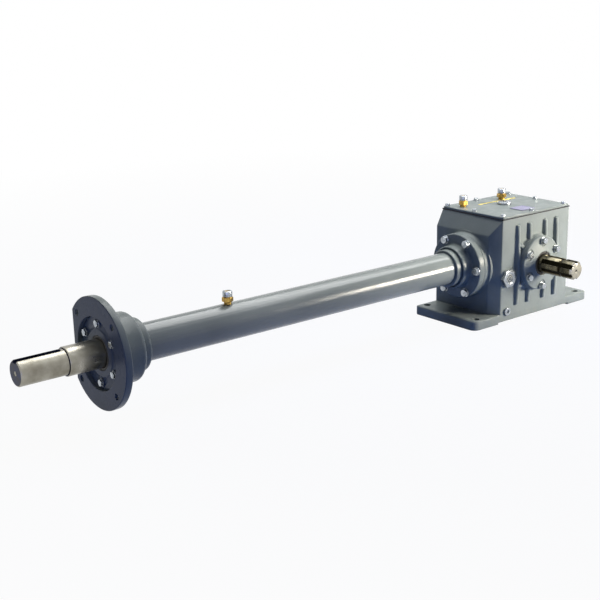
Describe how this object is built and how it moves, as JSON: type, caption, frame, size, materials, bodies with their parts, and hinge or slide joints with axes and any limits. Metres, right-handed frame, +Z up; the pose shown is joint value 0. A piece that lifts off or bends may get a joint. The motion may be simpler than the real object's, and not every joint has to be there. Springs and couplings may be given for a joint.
{
  "type": "right angle bevel gearbox",
  "caption": "Foot-mounted right-angle bevel gearbox with a splined input shaft and an output shaft carried in a long flanged tube.",
  "frame": {"origin": "on the plane the feet stand on, below the output axis, in line with the housing's output panel", "axes": "+Z up; the output shaft runs along X and leaves towards -X; the splined input shaft runs along Y and leaves towards -Y"},
  "size_m": [1.18, 0.2655, 0.2252],
  "materials": {
    "grey_paint": "gloss slate grey enamel on cast iron and steel",
    "shaft_steel": "turned and ground bare steel, lightly oiled",
    "zinc": "bright zinc plate",
    "brass": "turned brass",
    "rubber": "moulded black rubber",
    "gasket": "dark gasket sheet",
    "lens": "clear sight lens over a pale reflector",
    "bearing_steel": "ground bearing steel"
  },
  "bodies": {
    "gearbox": {"housing": "grey_paint", "tube_adapter": "grey_paint", "extension_tube": "grey_paint", "output_flange": "grey_paint", "seal_retainer": "grey_paint", "top_cover": "grey_paint", "cover_gasket": "gasket", "input_cover": "grey_paint", "rear_cap": "grey_paint", "nameplate": "zinc", "filler_plug": "zinc", "sight_glass_body": "zinc", "sight_lens": "lens", "drain_plug": "zinc", "input_seal": "rubber", "output_seal": "rubber", "breather_1_body": "brass", "breather_1_cap": "zinc", "breather_2_body": "brass", "breather_2_cap": "zinc", "breather_3_body": "brass", "breather_3_cap": "zinc", "top_cover_bolt_1": "zinc", "top_cover_bolt_2": "zinc", "top_cover_bolt_3": "zinc", "top_cover_bolt_4": "zinc", "top_cover_bolt_5": "zinc", "top_cover_bolt_6": "zinc", "top_cover_bolt_7": "zinc", "top_cover_bolt_8": "zinc", "adapter_bolt_1": "zinc", "adapter_bolt_2": "zinc", "adapter_bolt_3": "zinc", "adapter_bolt_4": "zinc", "adapter_bolt_5": "zinc", "adapter_bolt_6": "zinc", "input_cover_bolt_1": "zinc", "input_cover_bolt_2": "zinc", "input_cover_bolt_3": "zinc", "input_cover_bolt_4": "zinc", "input_cover_bolt_5": "zinc", "input_cover_bolt_6": "zinc", "retainer_bolt_1": "zinc", "retainer_bolt_2": "zinc", "retainer_bolt_3": "zinc", "retainer_bolt_4": "zinc", "retainer_bolt_5": "zinc", "retainer_bolt_6": "zinc", "input_bearing_front_cup": "bearing_steel", "input_bearing_rear_cup": "bearing_steel", "output_bearing_inner_cup": "bearing_steel", "output_bearing_outer_cup": "bearing_steel"},
    "input_shaft": {"input_shaft": "shaft_steel", "input_pinion": "shaft_steel", "input_bearing_front_cone": "bearing_steel", "input_bearing_rear_cone": "bearing_steel"},
    "output_shaft": {"output_shaft": "shaft_steel", "output_gear": "shaft_steel", "output_bearing_inner_cone": "bearing_steel", "output_bearing_outer_cone": "bearing_steel"}
  },
  "joints": [
    {"name": "output_spin", "type": "hinge", "parent": "gearbox", "child": "output_shaft", "pos_m": [0, 0, 0.106], "axis": [1, 0, 0], "continuous": true},
    {"name": "input_spin", "type": "hinge", "parent": "gearbox", "child": "input_shaft", "pos_m": [0.108, 0, 0.106], "axis": [0, 1, 0], "continuous": true}
  ],
  "couplings": [
    {"joint": "input_spin", "follows": "output_spin", "ratio": -1.5}
  ]
}
